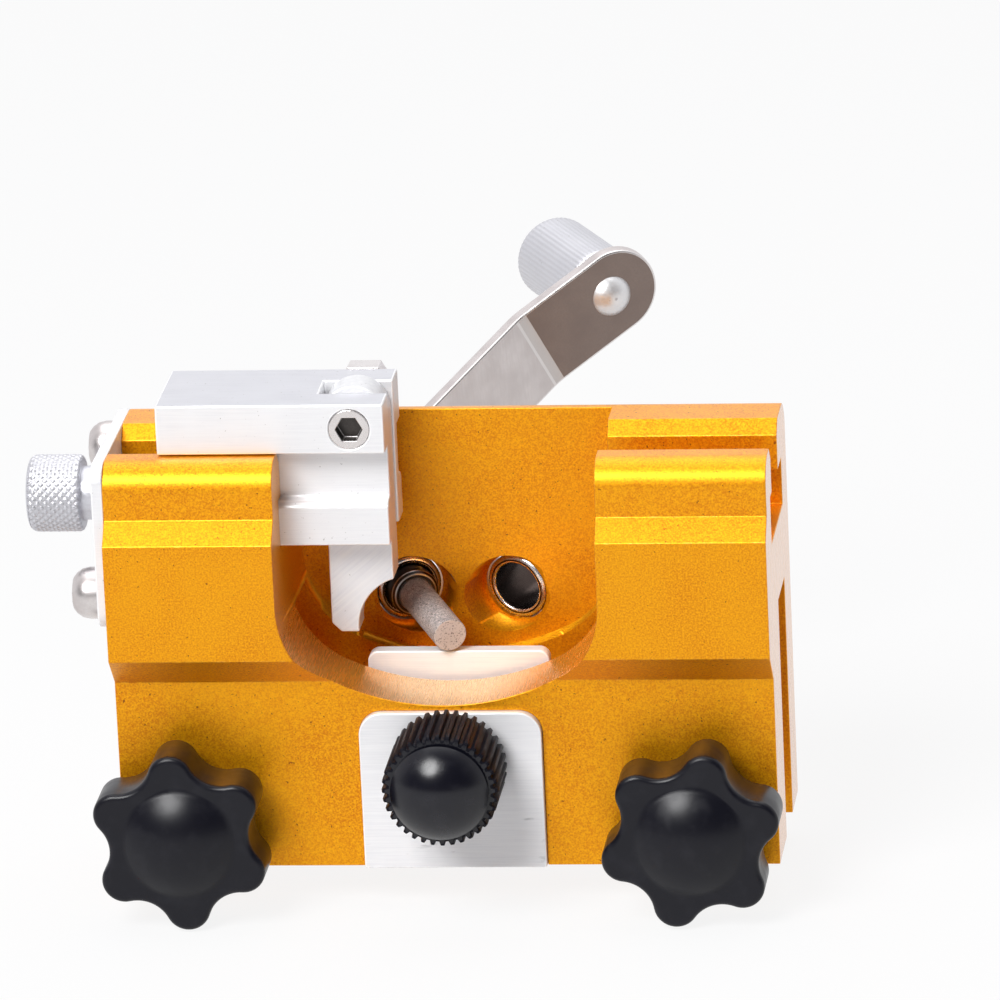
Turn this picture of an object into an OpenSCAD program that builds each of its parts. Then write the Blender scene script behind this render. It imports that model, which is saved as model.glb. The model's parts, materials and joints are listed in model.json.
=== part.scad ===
// Hand-crank chainsaw sharpener.
// X runs along the guide bar, Y from the front to the rear, Z up.
// The origin is on the bar plane, at the mouth of the bar slot, at mid length.

/* [Body] */
// Length of the extruded body
body_len = 85; // [78:1:115]
// Height of the extruded body
body_h = 54.4; // [53.5:0.1:60]
// Width of the slot that straddles the guide bar
slot_w = 9.5; // [8.5:0.1:11]
// Height of the bar slot's roof
slot_h = 32.2; // [30:0.1:35]
// Thickness of the front wall below the grip band
skirt_wall = 10.2; // [9:0.1:12]
// How far the grip band stands out from the front wall
band_out = 4; // [2:0.1:5]
// Height of the grip band's lower edge
band_z0 = 29.1; // [28:0.1:32]
// Height of the grip band's upper edge
band_z1 = 44.6; // [42:0.1:46]
// Set-back of the front rail from the grip band
rail_setback = 2.7; // [1.5:0.1:3.5]
// Rounding of the front rail's top edge
rail_round = 3.6; // [1:0.1:3.8]
// Thickness of the rear wall
rear_wall = 8.3; // [7.6:0.1:12]
// Rounding of the rear wall's top edge
rear_round = 4.4; // [2:0.1:4.8]

/* [Top slot] */
// Distance of the top slot's middle in front of the bar plane
tslot_offset = 3.7; // [3.2:0.1:4.2]
// Width of the top slot's neck
neck_w = 9.6; // [8.6:0.1:10.2]
// Bevel on the neck's top edges
lip_bevel = 1.8; // [0.5:0.1:2]
// Height of the rails above the undercut
lip_h = 6.4; // [5.5:0.1:7]
// Height of the undercut
undercut_h = 6.2; // [5:0.1:7]
// Depth of the undercut in the front rail
undercut_front = 2.3; // [1.5:0.1:2.8]
// Depth of the undercut in the rear wall
undercut_rear = 5; // [3:0.1:5.4]

/* [Window] */
// Width of the U-shaped window
window_w = 41.3; // [38:0.1:48]
// Height of the window's lowest point
window_z = 21.7; // [21.5:0.1:23]
// Radius of the window's lower corners
window_corner_r = 12.5; // [10:0.5:14]
// Radius of the window's bottom
window_bottom_r = 32; // [28:1:45]
// Depth of the window's pocket in the rear wall
pocket_depth = 3.35; // [2.2:0.05:3.8]

/* [Tooth stop slide] */
// Length of the slide block
slide_len = 29.4; // [26:0.1:34]
// Distance of the slide's left end from the body's left end
slide_inset = 6.6; // [6:0.1:9]
// Width of the slide's top flange
flange_w = 15.9; // [14:0.1:17]
// Height of the slide's top flange
flange_h = 6.55; // [6.3:0.05:8]
// Chamfer on the slide foot's upper edge
foot_chamfer = 0.7; // [0.2:0.1:1]
// Clearance of the slide in the top slot
slide_clear = 0.15; // [0.1:0.05:0.3]

/* [Pawl] */
// Thickness of the pawl
pawl_t = 5.3; // [4:0.1:5.6]
// Width of the pawl
pawl_w = 8.3; // [7.5:0.1:9]
// Distance from the pawl's pivot to its tip
pawl_reach = 28.9; // [26:0.1:29]
// Distance of the pivot from the slide's right end
pivot_inset = 4.5; // [4.4:0.1:6]
// Distance of the pivot above the slide flange's underside
pivot_rise = 3.25; // [3.1:0.05:3.4]
// Radius of the relief at the pawl's tip
pawl_relief_r = 6.8; // [5:0.1:8]
// Width of the pawl's tip
pawl_tip_w = 3.5; // [3:0.1:4.5]
// Chamfer on the pawl tip's outer corner
pawl_chamfer = 1.2; // [0.8:0.1:2]
// Diameter of the pivot screw's shank
pivot_d = 4; // [3:0.1:4.4]
// Diameter of the pivot screw's head
pivot_head_d = 5.2; // [5.2:0.1:6]
// Length of the pivot screw's head
pivot_head_l = 2.8; // [2:0.1:3]
// Width across flats of the pivot nut
pivot_nut_af = 6.9; // [6.5:0.1:7.5]
// Thickness of the pivot nut
pivot_nut_t = 3.4; // [2.5:0.1:4]
// Length of the pivot screw past its nut
pivot_tip = 0.6; // [0.4:0.1:1]

/* [Thumb screw] */
// Diameter of the thumb screw's head
thumb_d = 10; // [9:0.1:12]
// Length of the thumb screw's head
thumb_len = 7; // [6:0.1:10]
// Diameter of the thumb screw's shoulder
thumb_shoulder_d = 7; // [6:0.1:8]
// Length of the thumb screw's shoulder
thumb_shoulder_l = 2.9; // [2:0.1:4]
// Diameter of the thumb screw's thread
thumb_thread_d = 4; // [3:0.1:4.6]
// Length of thread past the end plate
thumb_thread_l = 21; // [19:0.5:23]
// Height of the thumb screw above the slide foot's underside
thumb_rise = 5.2; // [4.5:0.1:6]
// Outer diameter of the retaining clip
clip_d = 7.4; // [6.4:0.1:8]
// Thickness of the retaining clip
clip_t = 0.9; // [0.6:0.1:1.2]

/* [End plate] */
// Thickness of the end plate
plate_t = 1.5; // [1.2:0.1:2.5]
// Height of the end plate
plate_h = 22; // [21:0.1:23]
// Corner radius of the end plate
plate_corner_r = 2.5; // [1:0.1:4]
// Distance of the end plate's rear edge from the body's rear face
plate_rear_inset = 1.4; // [0.5:0.1:3]
// Distance of the lower end-plate screw in front of the bar slot
screw_lo_out = 7.4; // [6.5:0.1:8]
// Distance of the upper end-plate screw behind the bar slot
screw_hi_out = 2.4; // [1.8:0.1:3]
// Distance of the upper end-plate screw below the body's top
screw_hi_drop = 4.4; // [3.4:0.1:4.6]
// Diameter of an end-plate screw's head
plate_screw_head_d = 6.7; // [5.5:0.1:7.2]
// Height of an end-plate screw's head
plate_screw_head_h = 3.5; // [2.4:0.1:4]
// Depth of the recess in an end-plate screw's head
plate_screw_recess = 1.2; // [0.8:0.1:1.6]
// Diameter of an end-plate screw's thread
plate_screw_d = 3.4; // [3:0.1:4]
// Length of an end-plate screw's thread in the body
plate_screw_l = 9; // [6:0.5:12]

/* [Cutter feed] */
// Half the distance between the two bores on the window's rear face
bore_x = 6; // [5.9:0.1:8]
// Height of the bores on the window's rear face
bore_z = 29.2; // [28.8:0.1:30.2]
// Angle of the bores to the rear, seen from above
plan_angle = 25; // [23:1:30]
// Downward lean of the bores towards the front
hook_angle = 6; // [5:0.5:7]
// Outer diameter of the threaded bushes
bush_d = 9; // [8.6:0.1:10]
// Length of the threaded bushes
bush_len = 12; // [10:0.5:13]
// Depth of the bushes' front ends behind the window's rear face
bush_sink = 2.3; // [1:0.1:2.7]
// Diameter of the counterbore in front of each bush
bush_counterbore_d = 10.3; // [10.1:0.1:11]
// Pitch of the bushes' outer thread
bush_pitch = 1; // [0.75:0.05:1.5]
// Depth of the bushes' outer thread
bush_thread = 0.35; // [0.1:0.05:0.5]
// Diameter of the spindle
spindle_d = 6.4; // [5.8:0.1:6.8]
// Diameter of the grinding stone
stone_d = 4.4; // [4:0.1:4.5]
// Length of the stone in front of the spindle
stone_out = 14; // [10:0.1:14.5]
// Length of the stone held inside the spindle
stone_in = 7; // [5:0.5:9]
// Outer diameter of the feed collar
collar_d = 10; // [9:0.5:12]
// Thickness of the feed collar
collar_t = 2.2; // [1.5:0.1:3]

/* [Crank] */
// Turn of the crank away from upright
crank_angle = 61.3; // [0:0.1:90]
// Width of the crank's strap
strap_w = 11.6; // [10.5:0.1:14]
// Thickness of the crank's strap
strap_t = 2; // [1.5:0.1:2.5]
// Distance of the strap's hub behind the window's rear face, along the spindle
hub_a = 25.7; // [24.5:0.1:28]
// Radius where the strap leaves the hub's plane
hub_flat = 7; // [6.5:0.5:9]
// Radius of the strap's outer bend
bend_r = 33.5; // [30:0.1:40]
// Distance of the strap's outer bend behind the hub, along the spindle
bend_rise = 11.2; // [8:0.1:13]
// Lean of the strap's end from the hub's plane
end_lean = 6; // [0:0.5:8]
// Distance from the outer bend to the handle
end_len = 12.4; // [11:0.1:16]
// Distance of the handle from the middle of the strap's rounded end
end_tip = 1; // [0:0.1:2]
// Diameter of the handle grip
grip_d = 11.2; // [9:0.1:12]
// Length of the handle grip
grip_len = 16.6; // [12:0.1:22]
// Diameter of the handle rivet
rivet_d = 4; // [3:0.1:5]
// Diameter of the handle rivet's heads
rivet_head_d = 5.6; // [5.4:0.1:6.4]
// Height of the handle rivet's front head
rivet_head_h = 1.5; // [1:0.1:2]
// Diameter of the crank screw
crank_screw_d = 3; // [2.5:0.1:3.5]
// Diameter of the crank screw's head
crank_screw_head_d = 6; // [5.5:0.1:7]
// Height of the crank screw's head
crank_screw_head_h = 2.2; // [1.5:0.1:3]
// Length of the crank screw inside the spindle
crank_screw_l = 6; // [4:0.5:9]
// Diameter of the crank washer
washer_d = 8; // [7.2:0.1:10]

/* [Bar clamps] */
// Distance of the left star knob from the body's left end
star_inset_left = 8.8; // [8:0.1:11]
// Distance of the right star knob from the body's right end
star_inset_right = 10.5; // [8:0.1:11]
// Height of the star knobs
star_z = 6.7; // [6:0.1:9]
// Diameter of a star knob over its lobes
star_d = 23.6; // [21:0.2:25]
// Turn of the left star knob at rest
star_turn_left = -4.5; // [-30:0.5:30]
// Turn of the right star knob at rest
star_turn_right = 13.5; // [-30:0.5:30]
// Lobes on a star knob
star_lobes = 6; // [5:1:7]
// Radius of a lobe
star_lobe_r = 2.9; // [2.4:0.1:3]
// Radius of the hollow between two lobes
star_hollow_r = 4.4; // [3.6:0.1:4.8]
// Thickness of a star knob at its lobes
star_t = 7.4; // [5:0.1:9]
// Diameter of the dome on a star knob
star_dome_d = 14.4; // [11:0.2:15]
// Height of the dome on a star knob
star_dome_h = 2.6; // [1.5:0.1:4]
// Distance of a star knob from the front wall
star_gap = 3.2; // [2.8:0.1:5]
// Diameter of a clamp stud
stud_d = 6; // [5:0.1:7]
// Diameter of a clamp shoe
shoe_d = 9; // [8:0.1:10]
// Thickness of a clamp shoe
shoe_t = 2.2; // [2:0.1:2.4]
// Distance of a clamp shoe from the front wall's inner face
shoe_gap = 2.3; // [2.3:0.1:3]
// Diameter of a stud's end pin
stud_pin_d = 3.4; // [3:0.1:4]

/* [Chain clamp] */
// Distance of the chain clamp to the right of mid length
clamp_x = 0.7; // [0:0.1:1.5]
// Height of the chain clamp's screw
clamp_z = 14.8; // [13:0.1:15.5]
// Width of the thread plate and of the chain pad
clamp_w = 23.6; // [21:0.1:27]
// Height of the thread plate
thread_plate_h = 21; // [19:0.1:21]
// Depth of the thread plate's recess
thread_plate_in = 2; // [1:0.1:3]
// How far the thread plate stands out
thread_plate_out = 1; // [1:0.1:3]
// Radius of the thread plate's upper corners
thread_plate_r = 3; // [1:0.1:4]
// Diameter of the ribbed knob
knob_d = 15; // [14:0.1:17]
// Ribs on the ribbed knob
knob_ribs = 36; // [24:1:40]
// Radius of a rib
knob_rib_r = 0.42; // [0.3:0.02:0.5]
// Length of the ribbed part
knob_len = 10.6; // [7:0.1:11]
// Height of the ribbed knob's dome
knob_dome_h = 3.2; // [2:0.1:4]
// Distance of the ribbed knob from the thread plate
knob_gap = 1.8; // [1.8:0.1:3]
// Diameter of the chain clamp's screw
clamp_screw_d = 5; // [4:0.1:6]
// Diameter of the chain clamp screw's end pin
clamp_pin_d = 3; // [2.5:0.1:3.6]
// Thickness of the chain pad
pad_t = 2.2; // [1.8:0.1:2.4]
// Distance of the chain pad from the front wall's inner face
pad_gap = 1.1; // [1.1:0.1:1.6]
// Height of the chain pad's top
pad_top = 25.3; // [23:0.1:25.3]
// Height of the chain pad's lower edge
pad_bottom = 9; // [6:0.5:11]
// Radius of the chain pad's upper corners
pad_corner_r = 1.4; // [0.5:0.1:2]

/* [Fits] */
// Radial clearance of a turning fit
run_clear = 0.05; // [0.03:0.01:0.08]
// Radial clearance of a threaded or seated piece
seat_clear = 0.03; // [0.02:0.01:0.05]
// Gap between faces that pass each other
face_gap = 0.3; // [0.2:0.05:0.5]

/* [Hidden] */
$fn = 96;
over = 1;
gold = [0.93, 0.58, 0.06];
bare = [0.86, 0.86, 0.87];
steel = [0.62, 0.61, 0.6];
dark_steel = [0.3, 0.29, 0.29];
plastic = [0.06, 0.06, 0.07];
grit = [0.6, 0.56, 0.53];

half_len = body_len / 2;
y_in = -slot_w / 2;
y_skirt = y_in - skirt_wall;
y_band = y_skirt - band_out;
y_rail = y_band + rail_setback;
y_slot_rear = slot_w / 2;
y_pocket = y_slot_rear + pocket_depth;
y_rear = y_slot_rear + rear_wall;
y_ts = -tslot_offset;
z_lip = body_h - lip_h;
z_floor = z_lip - undercut_h;
rail_z = band_z1 + rail_setback;

u_cx = window_w / 2 - window_corner_r;
u_big_z = window_z + window_bottom_r;
u_arm = window_bottom_r - window_corner_r;
u_cz = u_big_z - sqrt(u_arm * u_arm - u_cx * u_cx);

slide_x0 = -half_len + slide_inset;
slide_x1 = slide_x0 + slide_len;
z_under = body_h + slide_clear;
z_top = z_under + flange_h;
foot_z0 = z_floor + slide_clear;
foot_z1 = z_lip - slide_clear;
neck_half = neck_w / 2 - slide_clear;
foot_half = neck_w / 2 + undercut_front - slide_clear;
y_flange = y_ts - flange_w / 2;
fork_w = pawl_t + 2 * slide_clear;
pawl_end_gap = 0.2;
pivot_x = slide_x1 - pivot_inset;
pivot_z = z_under + pivot_rise;
pawl_x0 = pivot_x - pawl_w / 2;
pawl_x1 = pivot_x + pawl_w / 2;
pawl_z0 = pivot_z - pawl_reach;
fork_x = pawl_x0 - pawl_end_gap;
thumb_z = foot_z0 + thumb_rise;
x_plate = -half_len - plate_t;
screw_lo = [y_in - screw_lo_out, body_h - plate_h + plate_screw_head_d / 2 + 0.6];
screw_hi = [y_slot_rear + screw_hi_out, body_h - screw_hi_drop];

bush_z1 = bush_sink + bush_len;
bush_bore_d = spindle_d + 2 * run_clear;
hub_front = hub_a - strap_t / 2;
hub_rear = hub_a + strap_t / 2;
bend_a = hub_a + bend_rise;
collar_a = hub_front - face_gap / 3 - collar_t;
tang_d = 5;
washer_t = 0.8;
grip_a = strap_t / 2 + face_gap;
rivet_tail = 1.2;

star_x = [-half_len + star_inset_left, half_len - star_inset_right];
y_star = y_skirt - star_gap;
y_shoe = y_in + shoe_gap;
star_rc = star_d / 2 - star_lobe_r;
y_thread_plate = y_skirt - thread_plate_out;
y_knob = y_thread_plate - knob_gap;
y_pad = y_in + pad_gap;

// Extrudes a section drawn in Y and Z along X, from x0 to x1.
module along_x(x0, x1) {
    translate([x0, 0, 0]) rotate([90, 0, 90]) linear_extrude(height = x1 - x0) children();
}

// Extrudes a front view drawn in X and Z along Y, from y0 to y1.
module along_y(y0, y1) {
    translate([0, y1, 0]) rotate([90, 0, 0]) linear_extrude(height = y1 - y0) children();
}

// Round bar or hole along Y.
module rod_y(x, z, d, y0, y1) {
    translate([x, y1, z]) rotate([90, 0, 0]) cylinder(d = d, h = y1 - y0);
}

// Round bar or hole along X.
module rod_x(y, z, d, x0, x1) {
    translate([x0, y, z]) rotate([0, 90, 0]) cylinder(d = d, h = x1 - x0);
}

// Tube along Z.
module tube(d, bore, z0, z1) {
    translate([0, 0, z0]) difference() {
        cylinder(d = d, h = z1 - z0);
        translate([0, 0, -over]) cylinder(d = bore, h = z1 - z0 + 2 * over);
    }
}

// Spherical cap on the plane z = 0.
module dome(d, h) {
    r = (d * d / 4 + h * h) / (2 * h);
    intersection() {
        translate([0, 0, h - r]) sphere(r = r);
        cylinder(d = d, h = h);
    }
}

// Frame of one bore: origin on the window's rear face, Z to the rear along the bore.
module feed_frame(side) {
    translate([side * bore_x, y_pocket, bore_z])
        rotate([0, 0, -side * plan_angle]) rotate([hook_angle - 90, 0, 0]) children();
}

// Frame of the crank: X along the arm, Z to the rear along the spindle.
module crank_frame() {
    feed_frame(-1) rotate([0, 0, crank_angle - 90]) children();
}

// Frame of the strap's end: origin on the handle's axis, Z along that axis.
module handle_frame() {
    crank_frame() translate([bend_r, 0, bend_a]) rotate([0, -end_lean, 0])
        translate([end_len, 0, 0]) children();
}

// Cutter that leaves a rounded corner of radius r; side is -1 for a front corner, 1 for a rear one.
module corner_cut(y, z, r, side) {
    difference() {
        translate([side < 0 ? y - over : y - r, z - r]) square([r + over, r + over]);
        translate([y - side * r, z - r]) circle(r = r);
    }
}

// Section of the extrusion.
module body_section() {
    difference() {
        polygon([[y_skirt, 0], [y_skirt, band_z0 - band_out], [y_band, band_z0], [y_band, band_z1],
            [y_rail, rail_z], [y_rail, body_h], [y_ts - neck_w / 2 - lip_bevel, body_h],
            [y_ts - neck_w / 2, body_h - lip_bevel], [y_ts - neck_w / 2, z_lip],
            [y_ts - neck_w / 2 - undercut_front, z_lip], [y_ts - neck_w / 2 - undercut_front, z_floor],
            [y_ts + neck_w / 2 + undercut_rear, z_floor], [y_ts + neck_w / 2 + undercut_rear, z_lip],
            [y_ts + neck_w / 2, z_lip], [y_ts + neck_w / 2, body_h - lip_bevel],
            [y_ts + neck_w / 2 + lip_bevel, body_h], [y_rear, body_h], [y_rear, 0],
            [y_slot_rear, 0], [y_slot_rear, slot_h], [y_in, slot_h], [y_in, 0]]);
        corner_cut(y_rail, body_h, rail_round, -1);
        corner_cut(y_rear, body_h, rear_round, 1);
    }
}

// Front view of the window: straight sides, two corner arcs and a wide bottom arc.
// The bottom arc ends just short of where it would touch the corner arcs.
module window_view() {
    half = atan2(u_cx, u_big_z - u_cz) - 1;
    reach = 2 * window_bottom_r;
    translate([-window_w / 2, u_cz]) square([window_w, body_h - u_cz + over]);
    for (s = [-1, 1]) translate([s * u_cx, u_cz]) circle(r = window_corner_r);
    intersection() {
        translate([0, u_big_z]) circle(r = window_bottom_r);
        polygon([[0, u_big_z], [-reach * sin(half), u_big_z - reach * cos(half)],
            [reach * sin(half), u_big_z - reach * cos(half)]]);
    }
}

// Plate outline with two rounded upper corners, from x0 to x1 and z0 to z1.
module arched_view(x0, x1, z0, z1, r) {
    translate([x0, z0]) square([x1 - x0, z1 - z0 - r]);
    translate([x0 + r, z0]) square([x1 - x0 - 2 * r, z1 - z0]);
    for (x = [x0 + r, x1 - r]) translate([x, z1 - r]) circle(r = r);
}

module body_extrusion() {
    color(gold) difference() {
        along_x(-half_len, half_len) body_section();
        along_y(y_band - over, y_pocket) window_view();
        for (s = [-1, 1]) {
            feed_frame(s) translate([0, 0, -bush_sink])
                cylinder(d = bush_d + 2 * seat_clear, h = bush_z1 + 2 * bush_sink);
            feed_frame(s) translate([0, 0, -bush_counterbore_d / 2])
                cylinder(d = bush_counterbore_d, h = bush_sink + bush_counterbore_d / 2);
        }
        for (x = star_x) rod_y(x, star_z, stud_d + 2 * run_clear, y_skirt - over, y_in + over);
        rod_y(clamp_x, clamp_z, clamp_screw_d + 4 * run_clear, y_skirt - over, y_in + over);
        along_y(y_skirt - over, y_skirt + thread_plate_in)
            arched_view(clamp_x - clamp_w / 2 - seat_clear, clamp_x + clamp_w / 2 + seat_clear,
                -over, thread_plate_h + seat_clear, thread_plate_r);
        for (p = [screw_lo, screw_hi])
            rod_x(p[0], p[1], plate_screw_d + 2 * seat_clear, -half_len - over,
                -half_len + plate_screw_l + over);
    }
}

module end_plate() {
    y0 = y_rail;
    y1 = y_rear - plate_rear_inset;
    z0 = body_h - plate_h;
    r = plate_corner_r;
    color(bare) difference() {
        along_x(x_plate, -half_len) {
            translate([y0 + r, z0]) square([y1 - y0 - 2 * r, plate_h]);
            translate([y0, z0 + r]) square([y1 - y0, plate_h - 2 * r]);
            for (y = [y0 + r, y1 - r], z = [z0 + r, z0 + plate_h - r]) translate([y, z]) circle(r = r);
        }
        rod_x(y_ts, thumb_z, thumb_thread_d + 2 * run_clear, x_plate - over, -half_len + over);
        for (p = [screw_lo, screw_hi])
            rod_x(p[0], p[1], plate_screw_d + 2 * seat_clear, x_plate - over, -half_len + over);
    }
}

// Round-headed screw through the end plate into the body, with a cross recess.
module plate_screw(p) {
    r = plate_screw_head_d / 2;
    h = plate_screw_head_h;
    slot = [0.55 * plate_screw_head_d, 0.9, plate_screw_recess];
    color(bare) translate([x_plate, p[0], p[1]]) rotate([0, -90, 0]) difference() {
        union() {
            rotate_extrude() polygon([[0, 0], [r, 0], [r, 0.4 * h], [0.94 * r, 0.66 * h],
                [0.8 * r, 0.86 * h], [0.62 * r, h], [0, h]]);
            translate([0, 0, -plate_t - plate_screw_l])
                cylinder(d = plate_screw_d, h = plate_t + plate_screw_l + h / 2);
        }
        for (a = [0, 90]) rotate(a) translate([-slot[0] / 2, -slot[1] / 2, h - slot[2]])
            cube([slot[0], slot[1], slot[2] + over]);
    }
}

module end_plate_screw_lower() { plate_screw(screw_lo); }
module end_plate_screw_upper() { plate_screw(screw_hi); }

// Threaded sleeve: the thread is a row of ridges along the outside.
module bush() {
    n = floor(bush_len / bush_pitch);
    r = bush_d / 2;
    color(steel) difference() {
        translate([0, 0, bush_sink]) rotate_extrude() polygon(concat(
            [[0, 0], [r - bush_thread, 0]],
            [for (i = [0:n - 1], k = [0, 1])
                [r - (k == 0 ? 0 : bush_thread), (i + 0.5 + k / 2) * bush_pitch]],
            [[r - bush_thread, bush_len], [0, bush_len]]));
        translate([0, 0, bush_sink - over]) cylinder(d = bush_bore_d, h = bush_len + 2 * over);
    }
}

module left_bush() { feed_frame(-1) bush(); }
module right_bush() { feed_frame(1) bush(); }

module thread_plate() {
    color(bare) difference() {
        along_y(y_thread_plate, y_skirt + thread_plate_in)
            arched_view(clamp_x - clamp_w / 2, clamp_x + clamp_w / 2, 0, thread_plate_h, thread_plate_r);
        rod_y(clamp_x, clamp_z, clamp_screw_d + 2 * run_clear, y_thread_plate - over,
            y_skirt + thread_plate_in + over);
    }
}

module thumb_screw() {
    edge = 0.8;
    r = thumb_d / 2;
    color(bare) translate([x_plate, y_ts, thumb_z]) rotate([0, -90, 0]) {
        translate([0, 0, thumb_shoulder_l]) rotate_extrude()
            polygon([[0, 0], [r - edge, 0], [r, edge], [r, thumb_len - edge], [r - edge, thumb_len],
                [0, thumb_len]]);
        cylinder(d = thumb_shoulder_d, h = thumb_shoulder_l);
        translate([0, 0, -plate_t - thumb_thread_l])
            cylinder(d = thumb_thread_d, h = plate_t + thumb_thread_l);
    }
}

module thumb_screw_clip() {
    color(steel) translate([-half_len + face_gap / 3, y_ts, thumb_z]) rotate([0, 90, 0])
        tube(clip_d, thumb_thread_d + 2 * seat_clear, 0, clip_t);
}

// Section of the slide block: flange on the rails, neck and foot in the top slot.
module slide_section() {
    translate([y_flange, z_under]) square([flange_w, flange_h]);
    translate([y_ts - neck_half, foot_z0]) square([2 * neck_half, z_under + over - foot_z0]);
    polygon([[y_ts - foot_half, foot_z0], [y_ts + foot_half, foot_z0],
        [y_ts + foot_half, foot_z1 - foot_chamfer], [y_ts + foot_half - foot_chamfer, foot_z1],
        [y_ts - foot_half + foot_chamfer, foot_z1], [y_ts - foot_half, foot_z1 - foot_chamfer]]);
}

module slide_block() {
    color(bare) difference() {
        along_x(slide_x0, slide_x1) slide_section();
        translate([fork_x, y_ts - fork_w / 2, foot_z0 - over])
            cube([slide_x1 - fork_x + over, fork_w, z_top - foot_z0 + 2 * over]);
        rod_x(y_ts, thumb_z, thumb_thread_d + 2 * run_clear, slide_x0 - over, fork_x + over);
        rod_y(pivot_x, pivot_z, pivot_d + 2 * seat_clear, y_flange - over, y_flange + flange_w + over);
        rod_y(pivot_x, pivot_z, pivot_head_d + 2 * seat_clear, y_flange - over, y_flange + pivot_head_l);
    }
}

module pawl_pivot_screw() {
    color(steel) difference() {
        union() {
            rod_y(pivot_x, pivot_z, pivot_head_d, y_flange, y_flange + pivot_head_l);
            rod_y(pivot_x, pivot_z, pivot_d, y_flange, y_flange + flange_w + pivot_nut_t + pivot_tip);
        }
        translate([pivot_x, y_flange + pivot_head_l - 1, pivot_z]) rotate([90, 0, 0])
            cylinder(d = pivot_head_d * 0.68, h = pivot_head_l, $fn = 6);
    }
}

module pawl_pivot_nut() {
    color(steel) translate([pivot_x, y_flange + flange_w, pivot_z]) rotate([-90, 0, 0]) difference() {
        cylinder(d = pivot_nut_af / cos(30), h = pivot_nut_t, $fn = 6);
        translate([0, 0, -over]) cylinder(d = pivot_d + 2 * seat_clear, h = pivot_nut_t + 2 * over);
    }
}

module pawl() {
    color(bare) difference() {
        along_y(y_ts - pawl_t / 2, y_ts + pawl_t / 2) difference() {
            union() {
                translate([pivot_x, pivot_z]) circle(d = pawl_w);
                polygon([[pawl_x0, pivot_z], [pawl_x0, pawl_z0 + pawl_chamfer],
                    [pawl_x0 + pawl_chamfer, pawl_z0], [pawl_x1, pawl_z0], [pawl_x1, pivot_z]]);
            }
            translate([pawl_x0 + pawl_tip_w + pawl_relief_r, pawl_z0 + 0.6]) circle(r = pawl_relief_r);
        }
        rod_y(pivot_x, pivot_z, pivot_d + 2 * run_clear, y_ts - pawl_t, y_ts + pawl_t);
    }
}

module feed_collar() {
    color(dark_steel) feed_frame(-1) tube(collar_d, spindle_d + 2 * run_clear, collar_a, collar_a + collar_t);
}

module spindle() {
    color(dark_steel) feed_frame(-1) difference() {
        union() {
            rotate_extrude() polygon([[0, 0], [spindle_d / 2 - 0.4, 0], [spindle_d / 2, 0.4],
                [spindle_d / 2, hub_front], [0, hub_front]]);
            cylinder(d = tang_d, h = hub_rear);
        }
        translate([0, 0, -over]) cylinder(d = stone_d + 2 * seat_clear, h = stone_in + over);
        translate([0, 0, hub_front - crank_screw_l - over])
            cylinder(d = crank_screw_d + 2 * seat_clear, h = crank_screw_l + strap_t + 2 * over);
    }
}

module grinding_stone() {
    color(grit) feed_frame(-1) translate([0, 0, -stone_out]) cylinder(d = stone_d, h = stone_out + stone_in);
}

// Outline of a bent strip of thickness t along the points p, with a mitre at each fold.
function strip_side(p, t) =
    let (n = len(p), dir = [for (i = [0:n - 2]) atan2(p[i + 1][1] - p[i][1], p[i + 1][0] - p[i][0])])
    [for (i = [0:n - 1])
        let (a = dir[max(i - 1, 0)], b = dir[min(i, n - 2)], m = (a + b) / 2, r = t / 2 / cos((b - a) / 2))
            [p[i][0] - r * sin(m), p[i][1] + r * cos(m)]];

// Bent strap: flat hub, leaning arm and end, rounded at both ends.
module crank_arm() {
    end_x = bend_r + (end_len + end_tip) * cos(end_lean);
    tip = end_len + strap_w;
    line = [[-strap_w, hub_a], [hub_flat, hub_a], [bend_r, bend_a],
        [bend_r + tip * cos(end_lean), bend_a + tip * sin(end_lean)]];
    upper = strip_side(line, strap_t);
    lower = strip_side(line, -strap_t);
    color(steel) difference() {
        crank_frame() intersection() {
            linear_extrude(height = bend_a + strap_w) {
                translate([0, -strap_w / 2]) square([end_x, strap_w]);
                for (x = [0, end_x]) translate([x, 0]) circle(d = strap_w);
            }
            translate([0, strap_w, 0]) rotate([90, 0, 0]) linear_extrude(height = 2 * strap_w)
                polygon(concat(upper, [for (i = [len(lower) - 1:-1:0]) lower[i]]));
        }
        crank_frame() translate([0, 0, hub_front - over])
            cylinder(d = tang_d + 2 * seat_clear, h = strap_t + 2 * over);
        handle_frame() translate([0, 0, -strap_t]) cylinder(d = rivet_d + 2 * seat_clear, h = 2 * strap_t);
    }
}

module crank_washer() {
    color(steel) feed_frame(-1) tube(washer_d, crank_screw_d + 2 * seat_clear, hub_rear,
        hub_rear + washer_t);
}

module crank_screw() {
    color(steel) feed_frame(-1) {
        translate([0, 0, hub_front - crank_screw_l])
            cylinder(d = crank_screw_d, h = crank_screw_l + strap_t + washer_t);
        translate([0, 0, hub_rear + washer_t]) dome(crank_screw_head_d, crank_screw_head_h);
    }
}

module handle_rivet() {
    color(bare) handle_frame() {
        translate([0, 0, -strap_t / 2]) rotate([180, 0, 0]) dome(rivet_head_d, rivet_head_h);
        translate([0, 0, -strap_t / 2]) cylinder(d = rivet_d, h = strap_t / 2 + grip_a + grip_len - face_gap);
        translate([0, 0, grip_a + grip_len - rivet_tail - face_gap]) cylinder(d = rivet_head_d, h = rivet_tail);
    }
}

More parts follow.
